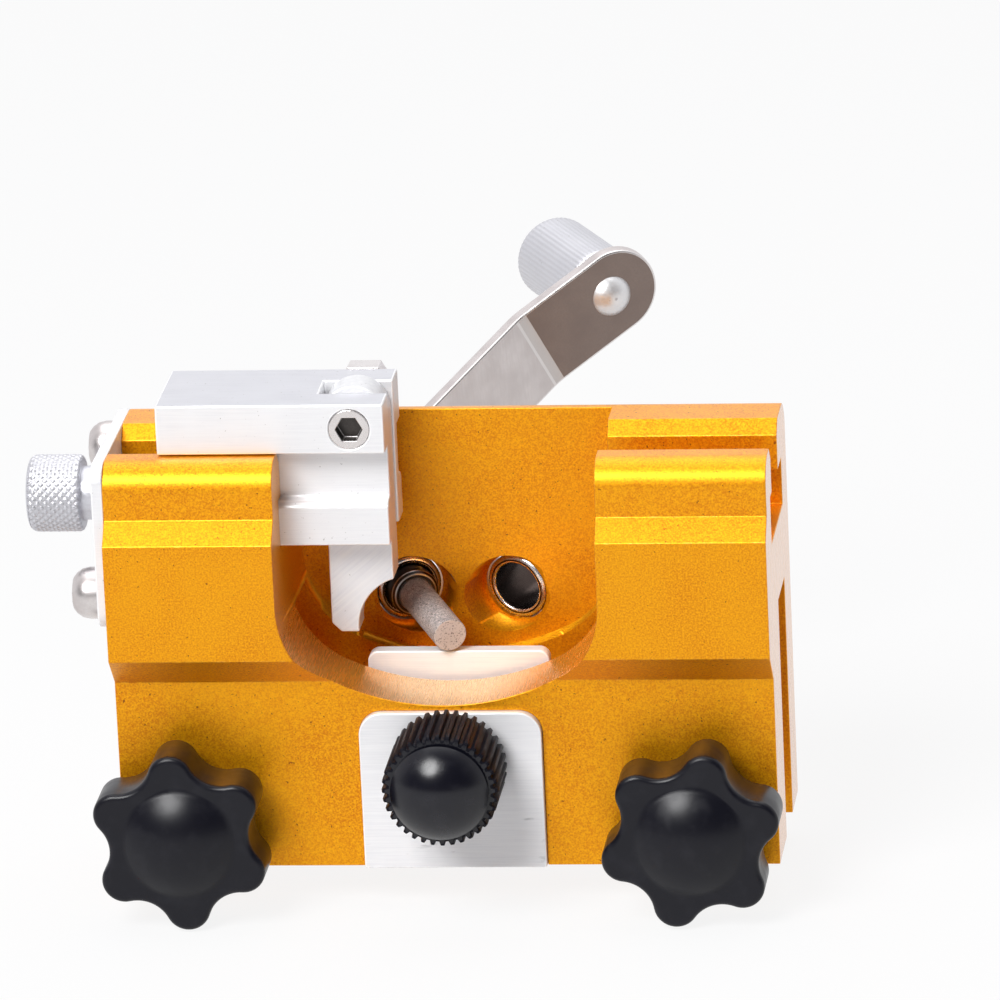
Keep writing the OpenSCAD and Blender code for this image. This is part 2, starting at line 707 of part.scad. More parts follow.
module handle_grip() {
    edge = 0.6;
    r = grip_d / 2;
    tail = rivet_tail + 2 * face_gap;
    color(bare) handle_frame() translate([0, 0, grip_a]) difference() {
        rotate_extrude() polygon([[0, 0], [r - edge, 0], [r, edge], [r, grip_len - edge],
            [r - edge, grip_len], [0, grip_len]]);
        translate([0, 0, -over]) cylinder(d = rivet_d + 2 * run_clear, h = grip_len + 2 * over);
        translate([0, 0, grip_len - tail]) cylinder(d = rivet_head_d + 2 * face_gap, h = tail + over);
    }
}

// Star outline: lobes and hollows are arcs that run into each other; edge draws it in.
module star_view(edge) {
    half = 180 / star_lobes;
    rise = star_lobe_r + star_hollow_r;
    across = star_rc * sin(half);
    hollow_c = star_rc * cos(half) + sqrt(rise * rise - across * across);
    difference() {
        union() {
            polygon([for (i = [0:star_lobes - 1], k = [0, 1])
                let (a = (2 * i + k) * half, r = k == 0 ? star_rc : hollow_c)
                    [r * sin(a), r * cos(a)]]);
            for (i = [0:star_lobes - 1]) rotate(-2 * i * half)
                translate([0, star_rc]) circle(r = star_lobe_r - edge);
        }
        for (i = [0:star_lobes - 1]) rotate(-(2 * i + 1) * half)
            translate([0, hollow_c]) circle(r = star_hollow_r + edge);
    }
}

module star_knob(x, turn) {
    edge = 0.7;
    color(plastic) translate([x, y_star, star_z]) rotate([90, 0, 0]) rotate(-turn) difference() {
        union() {
            linear_extrude(height = star_t - edge) star_view(0);
            translate([0, 0, star_t - edge]) linear_extrude(height = edge) star_view(edge);
            translate([0, 0, star_t]) dome(star_dome_d, star_dome_h);
        }
        translate([0, 0, -over]) cylinder(d = stud_d + 2 * seat_clear, h = star_t - 2 * edge + over);
    }
}

// Threaded stud: held in the star knob, through the front wall, with a pin in the shoe.
module clamp_stud(x) {
    edge = 0.7;
    color(steel) {
        rod_y(x, star_z, stud_d, y_star - star_t + 2 * edge + 0.2, y_shoe - face_gap / 3);
        rod_y(x, star_z, stud_pin_d, y_shoe - over, y_shoe + shoe_t * 0.7);
    }
}

module clamp_shoe(x) {
    color(steel) difference() {
        rod_y(x, star_z, shoe_d, y_shoe, y_shoe + shoe_t);
        rod_y(x, star_z, stud_pin_d + 2 * run_clear, y_shoe - over, y_shoe + shoe_t * 0.8);
    }
}

module left_star_knob() { star_knob(star_x[0], star_turn_left); }
module left_clamp_stud() { clamp_stud(star_x[0]); }
module left_clamp_shoe() { clamp_shoe(star_x[0]); }
module right_star_knob() { star_knob(star_x[1], star_turn_right); }
module right_clamp_stud() { clamp_stud(star_x[1]); }
module right_clamp_shoe() { clamp_shoe(star_x[1]); }

module chain_clamp_pad() {
    color(bare) difference() {
        along_y(y_pad, y_pad + pad_t)
            arched_view(clamp_x - clamp_w / 2, clamp_x + clamp_w / 2, pad_bottom, pad_top, pad_corner_r);
        rod_y(clamp_x, clamp_z, clamp_pin_d + 2 * run_clear, y_pad - over, y_pad + pad_t * 0.8);
    }
}

module chain_clamp_screw() {
    color(steel) {
        rod_y(clamp_x, clamp_z, clamp_screw_d, y_knob - knob_len * 0.7, y_pad - face_gap / 3);
        rod_y(clamp_x, clamp_z, clamp_pin_d, y_pad - over, y_pad + pad_t * 0.7);
    }
}

module chain_clamp_knob() {
    r = knob_d / 2 - knob_rib_r;
    neck = 0.8;
    color(plastic) translate([clamp_x, y_knob, clamp_z]) rotate([90, 0, 0]) difference() {
        union() {
            linear_extrude(height = knob_len) {
                circle(r = r);
                for (i = [0:knob_ribs - 1]) rotate(i * 360 / knob_ribs) translate([r, 0]) circle(r = knob_rib_r);
            }
            translate([0, 0, knob_len]) cylinder(r = r - 2 * neck, h = neck);
            translate([0, 0, knob_len + neck]) dome(2 * (r - neck), knob_dome_h);
        }
        translate([0, 0, -over]) cylinder(d = clamp_screw_d + 2 * seat_clear, h = knob_len * 0.75 + over);
    }
}

body_extrusion();
end_plate();
end_plate_screw_lower();
end_plate_screw_upper();
left_bush();
right_bush();
thread_plate();
thumb_screw();
thumb_screw_clip();
slide_block();
pawl_pivot_screw();
pawl_pivot_nut();
pawl();
feed_collar();
spindle();
grinding_stone();
crank_arm();
crank_washer();
crank_screw();
handle_rivet();
handle_grip();
left_clamp_shoe();
left_clamp_stud();
left_star_knob();
right_clamp_shoe();
right_clamp_stud();
right_star_knob();
chain_clamp_pad();
chain_clamp_screw();
chain_clamp_knob();
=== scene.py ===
"""Looks of the hand-crank chainsaw sharpener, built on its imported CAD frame.

X runs along the guide bar, Y from the front to the rear, Z up. Lengths are in metres.
"""

import json
import math

import bmesh
import bpy
from mathutils import Matrix, Vector


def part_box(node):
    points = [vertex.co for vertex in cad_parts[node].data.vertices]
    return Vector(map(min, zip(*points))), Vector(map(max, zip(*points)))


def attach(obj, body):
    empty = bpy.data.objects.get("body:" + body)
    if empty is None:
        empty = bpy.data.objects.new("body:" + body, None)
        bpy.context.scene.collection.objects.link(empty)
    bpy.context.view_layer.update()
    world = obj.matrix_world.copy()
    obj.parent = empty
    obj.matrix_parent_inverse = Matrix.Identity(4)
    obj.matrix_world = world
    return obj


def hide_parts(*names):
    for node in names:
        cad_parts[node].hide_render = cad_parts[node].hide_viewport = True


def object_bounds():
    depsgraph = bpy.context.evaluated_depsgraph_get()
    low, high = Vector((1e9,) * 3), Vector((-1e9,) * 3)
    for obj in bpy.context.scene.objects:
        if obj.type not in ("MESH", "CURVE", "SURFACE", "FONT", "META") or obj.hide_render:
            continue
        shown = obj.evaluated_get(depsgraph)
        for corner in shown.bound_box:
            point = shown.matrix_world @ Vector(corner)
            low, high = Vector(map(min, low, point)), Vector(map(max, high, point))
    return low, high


MM = 0.001

# Camera at the photograph's viewing angle
CAMERA_PLACE = (0.1530, -1.1800, 0.4204)
CAMERA_RIGHT = (0.99305158, 0.10948847, -0.04313731)
CAMERA_UP = (0.00781764, 0.30437734, 0.95251946)
CAMERA_LENS = 348.66
CAMERA_SENSOR = 36.0
CAMERA_FAR = 50.0

# Colours, linear
ORANGE = (0.97, 0.45, 0.005)
ORANGE_DEEP = (0.66, 0.17, 0.001)
ORANGE_PIT = (0.28, 0.07, 0.004)
ORANGE_CUT = (0.90, 0.37, 0.04)
ORANGE_CUT_DEEP = (0.80, 0.29, 0.022)
ORANGE_RIM = (0.90, 0.38, 0.05)
ORANGE_RIM_DEEP = (0.87, 0.35, 0.04)
# Pale tone of the painted highlight on the window's lower rim
ORANGE_RIM_HIGHLIGHT = (0.95, 0.68, 0.40)
ORANGE_WORN = (0.95, 0.66, 0.28)
ALUMINIUM = (0.85, 0.85, 0.86)
ALUMINIUM_DULL = (0.77, 0.77, 0.79)
# Pale tone of the painted highlight on rounded edges
ALUMINIUM_EDGE_HIGHLIGHT = (0.95, 0.95, 0.96)
# Darker aluminium: the grey of the knurled and diagonal-milled parts, and painted shade on the slide's top
ALUMINIUM_GREY_AND_TOP_SHADE = (0.66, 0.66, 0.70)
ALUMINIUM_GREY_AND_TOP_SHADE_DULL = (0.58, 0.58, 0.62)
# Darker tone at the bottom of knurls and flutes
ALUMINIUM_VALLEY = (0.30, 0.28, 0.27)
ALUMINIUM_SPECK = (0.45, 0.44, 0.44)
ALUMINIUM_SCUFF = (0.30, 0.30, 0.31)
STEEL = (0.72, 0.67, 0.66)
STEEL_STAIN = (0.58, 0.53, 0.52)
# Dark steel tones: painted shade on the strap's end, and the darker thread valleys
STEEL_VALLEY_AND_SHADE = (0.27, 0.215, 0.19)
STEEL_SHADE_DARK = (0.23, 0.18, 0.16)
BRIGHT = (0.82, 0.79, 0.78)
DARK_STEEL = (0.105, 0.095, 0.09)
DARK_STEEL_STAIN = (0.05, 0.045, 0.042)
BUSH = (0.09, 0.065, 0.055)
BUSH_STAIN = (0.05, 0.035, 0.03)
PLASTIC = (0.004, 0.004, 0.008)
PLASTIC_DUST = (0.022, 0.022, 0.028)
STONE = (0.35, 0.325, 0.32)
STONE_DARK = (0.10, 0.085, 0.08)
STONE_LIGHT = (0.60, 0.52, 0.49)
STONE_END = (0.58, 0.50, 0.47)

# How strongly rounded edges get a painted highlight and valleys darken
EDGE_PAINTED_HIGHLIGHT = 0.8
VALLEY_DARKENING = 0.6

# Edge rounding of the machined pieces
BODY_EDGE = 0.12 * MM
BLOCK_EDGE = 0.25 * MM
PLATE_EDGE = 0.2 * MM
STRAP_EDGE = 0.3 * MM
SMALL_EDGE = 0.12 * MM
BUSH_EDGE = 0.35 * MM
SHARP_ANGLE = math.radians(32)
CREASE_ANGLE = math.radians(33)
FOLD_ANGLE = math.radians(13)
RING_ANGLE = math.radians(40)
FLAT_ANGLE = math.radians(0.6)
MERGE_REACH = 2e-6
EDGE_SEGMENTS = 3
FOLD_SEGMENTS = 4
STRAP_FOLD = 0.9 * MM
STRAP_END_REACH = 15.0 * MM

# How squarely a face looks along an axis to count as facing it
SQUARE = 0.97
STRAP_SQUARE = 0.98
STONE_SQUARE = 0.9

# Most that a face of the window's rim looks along X and along Y
RIM_SIDE = 0.95
RIM_LEVEL = 0.2

# Thumb screw
THUMB_HEAD_D = 10.0 * MM
THUMB_HEAD_L = 7.0 * MM
THUMB_ROUND = 1.1 * MM
THUMB_SHOULDER_D = 7.0 * MM
THUMB_SHOULDER_L = 2.9 * MM
THUMB_PLATE_T = 1.5 * MM
THUMB_THREAD_D = 4.0 * MM
THUMB_PITCH = 0.7 * MM
THUMB_KNURLS = 30
THUMB_KNURL_DEPTH = 0.28 * MM
THUMB_KNURL_FLAT = 0.35
THUMB_GROOVE = 0.35 * MM
THUMB_GROOVE_RIM = 0.12 * MM
THUMB_GROOVE_FROM = 0.45
THUMB_GROOVE_TO = 0.62
THUMB_SHOULDER_BEVEL = 0.2 * MM
THUMB_TIP_BEVEL = 0.5 * MM
THUMB_STEPS = 240
THUMB_STEP_L = 0.11 * MM

# Milled window of the body
WINDOW_HALF = 21.5 * MM
WINDOW_BOTTOM = 21.7 * MM
WINDOW_LOW = 18.0 * MM
WINDOW_HIGH = 41.0 * MM
RIM_JOINT_X = 12.9 * MM
RIM_JOINT_Z = 24.4 * MM
RIM_JOINT_REACH = 0.45 * MM

# Depth below the slide's top that still counts as its top
TOP_REACH = 0.1 * MM

# Hex socket of the pivot screw, measured from the head's face
SOCKET_R = 1.8 * MM
SOCKET_START = 0.05 * MM
SOCKET_END = 3.0 * MM

# Star knobs
STAR_LOBES = 6
STAR_D = 23.6 * MM
STAR_LOBE_R = 2.9 * MM
STAR_HOLLOW_R = 4.4 * MM
STAR_T = 7.4 * MM
STAR_ROUND = 0.75 * MM
STAR_DOME_D = 14.4 * MM
STAR_DOME_H = 2.6 * MM
STAR_BORE_D = 6.06 * MM
STAR_TURNS = {"left": -4.5, "right": 13.5}
STAR_BORE_BEVEL = 0.25 * MM
STAR_DOME_STEP = 0.02 * MM
STAR_LOBE_STEPS = 40
STUD_D = 6.0 * MM
STUD_PITCH = 1.0 * MM
STUD_PIN_D = 3.4 * MM

# Ribbed knob
KNOB_D = 15.0 * MM
KNOB_RIBS = 36
KNOB_RIB_R = 0.42 * MM
KNOB_RIB_DEPTH = 0.55 * MM
KNOB_LEN = 10.6 * MM
KNOB_NECK = 0.8 * MM
KNOB_DOME_H = 3.2 * MM
KNOB_BORE_D = 5.06 * MM
KNOB_BORE_BEVEL = 0.2 * MM
KNOB_RIB_STEPS = 12
KNOB_RIB_STEEPNESS = 0.85
KNOB_BACK_IN = 0.6 * MM
KNOB_FACE_IN = 0.9 * MM
KNOB_NECK_FOOT = 0.1 * MM
KNOB_DOME_BEVEL = 0.15 * MM

# How far the ribs draw in near the knob's two ends, as (drop, distance from the end)
KNOB_BACK_ROUND = ((0.35 * MM, 0.0), (0.1 * MM, 0.15 * MM), (0.0, 0.4 * MM))
KNOB_FRONT_ROUND = ((0.0, 0.5 * MM), (0.12 * MM, 0.15 * MM), (0.45 * MM, 0.0))

# Screw of the chain clamp
CLAMP_SCREW_D = 5.0 * MM
CLAMP_PITCH = 0.8 * MM
CLAMP_PIN_D = 3.0 * MM

# Both kinds of knob and their screws
BORE_DEPTH = 4.0 * MM
DOME_STEPS = 12
PIN_L = 1.64 * MM
PIN_BEVEL = 0.2 * MM
ROD_BEVEL = 0.3 * MM
ROD_STEPS = 64
REARWARD = (0, 1, 0)

# Handle grip
GRIP_D = 11.2 * MM
GRIP_LEN = 16.6 * MM
GRIP_GAP = 1.3 * MM
GRIP_ROUND = 0.9 * MM
GRIP_BORE_D = 4.1 * MM
GRIP_SEAT_D = 6.2 * MM
GRIP_SEAT_L = 1.8 * MM
GRIP_FLUTES = 54
GRIP_FLUTE_DEPTH = 0.05 * MM
GRIP_FLUTE_STEPS = 6
GRIP_FLUTE_DARKENING = 0.3
GRIP_BEVEL = 0.2 * MM
GRIP_STEP_L = 0.6 * MM

# Depth of a screw thread over its pitch
THREAD_DEPTH = 0.55

# Studio
FLOOR_SIZE = 6.0
BACKGROUND = (0.955, 0.955, 0.975)
UNLIT = (0.08, 0.08, 0.085)
UNLIT_FROM = 0.2
UNLIT_TO = -0.6
ROOM_LEVEL = 0.14
FLOOR = (0.75, 0.75, 0.77)
FLOOR_GLOW = (1.0, 1.0, 1.0)
FLOOR_WHITE = 0.88
FLOOR_GAP = 0.3 * MM
FLOOR_ROUGHNESS = 0.85
LIGHT_TARGET = (0.0, 0.0, 0.03)
KEY_PLACE = (-0.36, -0.80, 0.82)
KEY_SIZE = (0.6, 0.6)
KEY_POWER = 15.5
OVERHEAD_PLACE = (0.0, 0.30, 0.95)
OVERHEAD_SIZE = (1.0, 1.0)
OVERHEAD_POWER = 4.6


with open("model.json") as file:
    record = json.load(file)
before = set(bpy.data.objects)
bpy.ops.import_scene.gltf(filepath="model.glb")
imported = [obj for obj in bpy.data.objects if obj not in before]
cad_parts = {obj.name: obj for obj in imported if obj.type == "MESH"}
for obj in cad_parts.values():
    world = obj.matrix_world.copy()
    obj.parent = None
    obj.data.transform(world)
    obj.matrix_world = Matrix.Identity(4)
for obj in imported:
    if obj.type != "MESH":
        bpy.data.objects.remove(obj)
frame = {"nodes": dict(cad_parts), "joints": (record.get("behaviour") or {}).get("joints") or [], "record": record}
cad_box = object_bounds()
scene = bpy.context.scene
nodes = frame["nodes"]
joints = {joint["name"]: joint for joint in frame["joints"]}
body_of = {node: body for body, members in frame["record"]["behaviour"]["bodies"].items() for node in members}


# Materials


class Tree:
    """Short helpers for building one node tree."""

    def __init__(self, tree):
        self.tree = tree

    def add(self, kind, **settings):
        node = self.tree.nodes.new(kind)
        for key, value in settings.items():
            setattr(node, key, value)
        return node

    def link(self, source, target):
        self.tree.links.new(source, target)

    def math(self, operation, first, second):
        node = self.add("ShaderNodeMath", operation=operation)
        for socket, value in zip(node.inputs, (first, second)):
            if isinstance(value, (int, float)):
                socket.default_value = value
            else:
                self.link(value, socket)
        return node.outputs["Value"]

    def mix(self, share, first, second):
        """Colour between first and second; either may be a colour or a socket."""
        node = self.add("ShaderNodeMix", data_type="RGBA")
        self.link(share, node.inputs["Factor"])
        for socket, value in ((node.inputs[6], first), (node.inputs[7], second)):
            if isinstance(value, tuple):
                socket.default_value = (*value, 1.0)
            else:
                self.link(value, socket)
        return node.outputs[2]

    def blend(self, share, first, second, end):
        """Links the shader between first and second to the surface of the end node."""
        node = self.add("ShaderNodeMixShader")
        for source, socket in zip((share, first, second), node.inputs):
            self.link(source, socket)
        self.link(node.outputs["Shader"], self.tree.nodes[end].inputs["Surface"])

    def shown_rays(self):
        """1 for the rays that show a backdrop to the eye: camera, glossy and transmission rays."""
        rays = self.add("ShaderNodeLightPath").outputs
        shown = rays["Is Camera Ray"]
        for ray in ("Is Glossy Ray", "Is Transmission Ray"):
            shown = self.math("MAXIMUM", shown, rays[ray])
        return shown


class Shader(Tree):
    """One node material with a Principled shader and short helpers for its textures."""

    def __init__(self, name):
        self.material = bpy.data.materials.new(name)
        self.material.use_nodes = True
        super().__init__(self.material.node_tree)
        self.shader = self.tree.nodes["Principled BSDF"]
        self.place = self.add("ShaderNodeTexCoord").outputs["Object"]

    def set(self, **values):
        for key, value in values.items():
            socket = self.shader.inputs[key.replace("_", " ")]
            socket.default_value = (*value, 1.0) if isinstance(value, tuple) else value

    def noise(self, size, detail=2.0, stretch=(1, 1, 1), turn=(0, 0, 0)):
        """Noise whose features are about size metres wide, stretched along the axes."""
        mapping = self.add("ShaderNodeMapping", vector_type="TEXTURE")
        mapping.inputs["Rotation"].default_value = turn
        mapping.inputs["Scale"].default_value = [size * s for s in stretch]
        self.link(self.place, mapping.inputs["Vector"])
        texture = self.add("ShaderNodeTexNoise")
        texture.inputs["Scale"].default_value = 1.0
        texture.inputs["Detail"].default_value = detail
        self.link(mapping.outputs["Vector"], texture.inputs["Vector"])
        return texture.outputs["Fac"]

    def cells(self, size):
        """Rounded cells about size metres wide."""
        mapping = self.add("ShaderNodeMapping")
        mapping.inputs["Scale"].default_value = (1 / size, 1 / size, 1 / size)
        self.link(self.place, mapping.inputs["Vector"])
        texture = self.add("ShaderNodeTexVoronoi")
        texture.inputs["Scale"].default_value = 1.0
        self.link(mapping.outputs["Vector"], texture.inputs["Vector"])
        return texture

    def spread(self, value, low, high, to_low=0.0, to_high=1.0):
        """Maps value from low..high to to_low..to_high, held at both ends."""
        node = self.add("ShaderNodeMapRange")
        for key, number in (("From Min", low), ("From Max", high), ("To Min", to_low), ("To Max", to_high)):
            node.inputs[key].default_value = number
        self.link(value, node.inputs["Value"])
        return node.outputs["Result"]

    def laid(self, colour, mask, share, tone):
        """The colour with the tone laid over it where mask is 1, up to share."""
        return self.mix(self.math("MULTIPLY", mask, share), colour, tone)

    def height(self):
        """Height of a point in the frame, in metres."""
        node = self.add("ShaderNodeSeparateXYZ")
        self.link(self.place, node.inputs["Vector"])
        return node.outputs["Z"]

    def edge(self):
        """1 on the rounded edges that the finishing step cut, 0 elsewhere."""
        return self.add("ShaderNodeAttribute", attribute_name="edge").outputs["Fac"]

    def valley(self):
        """1 at the bottom of knurls, flutes and threads, 0 on their crests and elsewhere."""
        return self.add("ShaderNodeAttribute", attribute_name="valley").outputs["Fac"]

    def bump(self, height, distance, strength=1.0, before=None):
        node = self.add("ShaderNodeBump")
        node.inputs["Distance"].default_value = distance
        node.inputs["Strength"].default_value = strength
        self.link(height, node.inputs["Height"])
        if before is not None:
            self.link(before, node.inputs["Normal"])
        return node.outputs["Normal"]

    def finish(self, colour=None, roughness=None, normal=None):
        for socket, key in ((colour, "Base Color"), (roughness, "Roughness"), (normal, "Normal")):
            if socket is not None:
                self.link(socket, self.shader.inputs[key])
        return self.material


def rubbed_edges(m, colour):
    """The orange skin, rubbed pale in places along its rounded edges."""
    rubbed = m.spread(m.noise(0.8 * MM, 3.0), 0.45, 0.75, 0.0, 0.12)
    return m.mix(m.math("MULTIPLY", m.edge(), rubbed), colour, ORANGE_WORN)


def anodised():
    """Bead-blasted, anodised aluminium: fine grain, dark pits and worn edges."""
    m = Shader("anodised_orange")
    grain = m.noise(0.24 * MM, 2.0)
    cloud = m.noise(9 * MM, 2.0)
    pits = m.spread(m.noise(0.42 * MM, 1.0), 0.225, 0.27)
    colour = m.mix(m.spread(grain, 0.32, 0.68), ORANGE_DEEP, ORANGE)
    colour = m.mix(m.spread(cloud, 0.2, 0.8, 0.55, 1.0), ORANGE, colour)
    colour = m.mix(pits, ORANGE_PIT, colour)
    colour = rubbed_edges(m, colour)
    m.set(Metallic=0.75, Specular_IOR_Level=0.10, Coat_Weight=1.0, Coat_IOR=1.22, Coat_Roughness=0.38)
    rough = m.spread(grain, 0.2, 0.8, 0.36, 0.52)
    normal = m.bump(grain, 0.014 * MM, 0.8)
    return m.finish(colour, rough, normal)


def anodised_cut(name, light, deep, metallic, stretch, coat, painted_highlight=None):
    """The same skin on sawn and milled faces: smoother and thinner, with fine tool lines.

    painted_highlight = (colour, height) is the pale tone of a painted highlight that it fades to below a height.
    """
    m = Shader(name)
    lines = m.noise(0.22 * MM, 2.0, stretch=stretch)
    cloud = m.noise(7 * MM, 2.0)
    colour = m.mix(m.spread(lines, 0.25, 0.75), deep, light)
    colour = m.mix(m.spread(cloud, 0.3, 0.7, 0.2, 0.7), light, colour)
    # Painted highlight: paler towards the bottom of the window's rim
    if painted_highlight:
        highlight_tone, level = painted_highlight
        highlight_share = m.spread(m.height(), level + 2.2 * MM, level + 0.4 * MM, 0.0, 0.85)
        colour = m.mix(highlight_share, colour, highlight_tone)
    colour = rubbed_edges(m, colour)
    m.set(Metallic=metallic, Specular_IOR_Level=0.12, Coat_Weight=coat, Coat_IOR=1.25, Coat_Roughness=0.2)
    rough = m.spread(lines, 0.2, 0.8, 0.20, 0.34)
    normal = m.bump(lines, 0.002 * MM, 0.3)
    return m.finish(colour, rough, normal)


def milled(name, size, depth, stretch=(1, 1, 1), turn=(0, 0, 0), metallic=0.45, light=ALUMINIUM,
           dull=ALUMINIUM_DULL):
    """Bare aluminium with tool marks, faint stains and a painted highlight on its rounded edges."""
    m = Shader(name)
    lines = m.noise(size, 2.0, stretch=stretch, turn=turn)
    cloud = m.noise(5 * MM, 3.0)
    speck = m.spread(m.noise(0.4 * MM, 1.0), 0.21, 0.26)
    colour = m.mix(m.spread(lines, 0.25, 0.75), dull, light)
    colour = m.mix(m.spread(cloud, 0.3, 0.7, 0.35, 1.0), light, colour)
    colour = m.mix(speck, ALUMINIUM_SPECK, colour)
    # Painted highlight on the rounded edges
    colour = m.laid(colour, m.edge(), EDGE_PAINTED_HIGHLIGHT, ALUMINIUM_EDGE_HIGHLIGHT)
    # Darker at the bottom of knurls and flutes
    colour = m.laid(colour, m.valley(), VALLEY_DARKENING, ALUMINIUM_VALLEY)
    m.set(Metallic=metallic)
    rough = m.spread(lines, 0.2, 0.8, 0.32, 0.48)
    normal = m.bump(lines, depth, 0.8)
    return m.finish(colour, rough, normal)


def scratched_plate(name, metallic, scuffs):
    """Bare plate with long level scratches and a few dark scuffs."""
    m = Shader(name)
    lines = m.noise(0.16 * MM, 2.0, stretch=(40, 1, 1))
    scuff = m.spread(m.noise(1.2 * MM, 4.0, stretch=(3, 1, 1)), 0.66, 0.76)
    scuff = m.math("MULTIPLY", scuff, m.spread(m.height(), 14 * MM, 5 * MM, 0.0, scuffs))
    colour = m.mix(m.spread(lines, 0.25, 0.75), ALUMINIUM_DULL, ALUMINIUM)
    colour = m.mix(scuff, colour, ALUMINIUM_SCUFF)
    # Painted highlight on the rounded edges
    colour = m.laid(colour, m.edge(), EDGE_PAINTED_HIGHLIGHT, ALUMINIUM_EDGE_HIGHLIGHT)
    m.set(Metallic=metallic)
    rough = m.spread(lines, 0.2, 0.8, 0.28, 0.44)
    normal = m.bump(lines, 0.008 * MM, 0.8)
    return m.finish(colour, rough, normal)


def steel(name, colour_a, colour_b, rough_low, rough_high, stretch=(1, 1, 1), size=0.2 * MM, painted_highlight=0.6):
    """Plain or dark steel: drawn lines, stains, a painted highlight on rounded edges and folds, and dull thread
    valleys.
    """
    m = Shader(name)
    lines = m.noise(size, 2.0, stretch=stretch)
    stain = m.noise(4 * MM, 4.0)
    colour = m.mix(m.spread(stain, 0.35, 0.7), colour_b, colour_a)
    colour = m.mix(m.spread(lines, 0.3, 0.7, 0.0, 0.35), colour, colour_b)
    # Painted highlight on the rounded edges and the strap's fold
    colour = m.laid(colour, m.edge(), painted_highlight, BRIGHT)
    colour = m.laid(colour, m.valley(), VALLEY_DARKENING, STEEL_VALLEY_AND_SHADE)
    m.set(Metallic=1.0)
    rough = m.spread(m.math("ADD", m.math("MULTIPLY", lines, 0.6), m.math("MULTIPLY", stain, 0.4)),
                     0.25, 0.75, rough_low, rough_high)
    normal = m.bump(lines, 0.006 * MM, 0.7)
    return m.finish(colour, rough, normal)


def plastic(name, rough_low, rough_high, gloss):
    """Black moulded plastic: a soft gloss, a faint orange-peel and dusty scuffs."""
    m = Shader(name)
    peel = m.noise(0.9 * MM, 2.0)
    dust = m.spread(m.noise(2.6 * MM, 5.0), 0.5, 0.8)
    fine = m.noise(0.12 * MM, 2.0)
    colour = m.laid(PLASTIC, dust, 0.35, PLASTIC_DUST)
    m.set(Metallic=0.0, Specular_IOR_Level=gloss)
    rough = m.spread(dust, 0.0, 1.0, rough_low, rough_high)
    normal = m.bump(fine, 0.004 * MM, 0.5, m.bump(peel, 0.012 * MM, 0.35))
    return m.finish(colour, rough, normal)


def abrasive(name, body, light, smeared):
    """Bonded abrasive: light and dark grains with open pores, smeared with use."""
    m = Shader(name)
    grains = m.cells(0.16 * MM)
    tone = m.add("ShaderNodeSeparateColor")
    m.link(grains.outputs["Color"], tone.inputs["Color"])
    colour = m.mix(m.spread(tone.outputs["Red"], 0.55, 0.95), body, light)
    colour = m.mix(m.spread(tone.outputs["Green"], 0.80, 1.0, 0.0, 0.8), colour, STONE_DARK)
    pores = m.spread(m.noise(0.30 * MM, 2.0), 0.22, 0.38, 0.3, 1.0)
    colour = m.mix(pores, STONE_DARK, colour)
    smear = m.spread(m.noise(3.5 * MM, 3.0), 0.42, 0.62, 0.0, smeared)
    colour = m.mix(smear, colour, STONE_DARK)
    m.set(Roughness=0.92, Specular_IOR_Level=0.25)
    height = m.math("ADD", grains.outputs["Distance"], pores)
    return m.finish(colour, None, m.bump(height, 0.05 * MM, 0.9))


ANODISED = anodised()
ANODISED_CUT = anodised_cut("anodised_cut", ORANGE_CUT, ORANGE_CUT_DEEP, 0.5, (1, 1, 14), 1.0)
# The window's rim, with a painted highlight on its lower part
ANODISED_RIM = anodised_cut("anodised_rim", ORANGE_RIM, ORANGE_RIM_DEEP, 0.6, (1, 14, 1), 0.2,
                            (ORANGE_RIM_HIGHLIGHT, WINDOW_BOTTOM))
MILLED = milled("milled_aluminium", 0.20 * MM, 0.006 * MM, (30, 1, 1))
# Painted shade: darker aluminium for the slide's top
MILLED_TOP_SHADE = milled("milled_top_painted_shade", 0.20 * MM, 0.004 * MM, (30, 1, 1), light=ALUMINIUM_GREY_AND_TOP_SHADE,
                    dull=ALUMINIUM_GREY_AND_TOP_SHADE_DULL)
KNURLED = milled("knurled_aluminium", 0.25 * MM, 0.008 * MM, metallic=0.8, light=ALUMINIUM_GREY_AND_TOP_SHADE,
                 dull=ALUMINIUM_GREY_AND_TOP_SHADE_DULL)
DIAGONAL = milled("diagonal_aluminium", 0.42 * MM, 0.03 * MM, (24, 1, 1), (0, math.radians(-40), 0),
                  dull=ALUMINIUM_GREY_AND_TOP_SHADE)
PLATE = scratched_plate("scratched_plate", 0.2, 0.6)
PAD = scratched_plate("pad_plate", 0.1, 0.0)
TURNED = milled("turned_aluminium", 0.25 * MM, 0.008 * MM, metallic=0.7)
BRIGHT_STEEL = steel("bright_steel", BRIGHT, STEEL, 0.20, 0.36)
STRAP_STEEL = steel("strap_steel", STEEL, STEEL_STAIN, 0.26, 0.42, stretch=(1, 1, 12), size=0.25 * MM)
# Painted shade on the strap's end
STRAP_END_SHADE = steel("strap_end_painted_shade", STEEL_VALLEY_AND_SHADE, STEEL_SHADE_DARK, 0.30, 0.46)
DARK = steel("dark_steel", DARK_STEEL, DARK_STEEL_STAIN, 0.26, 0.44)
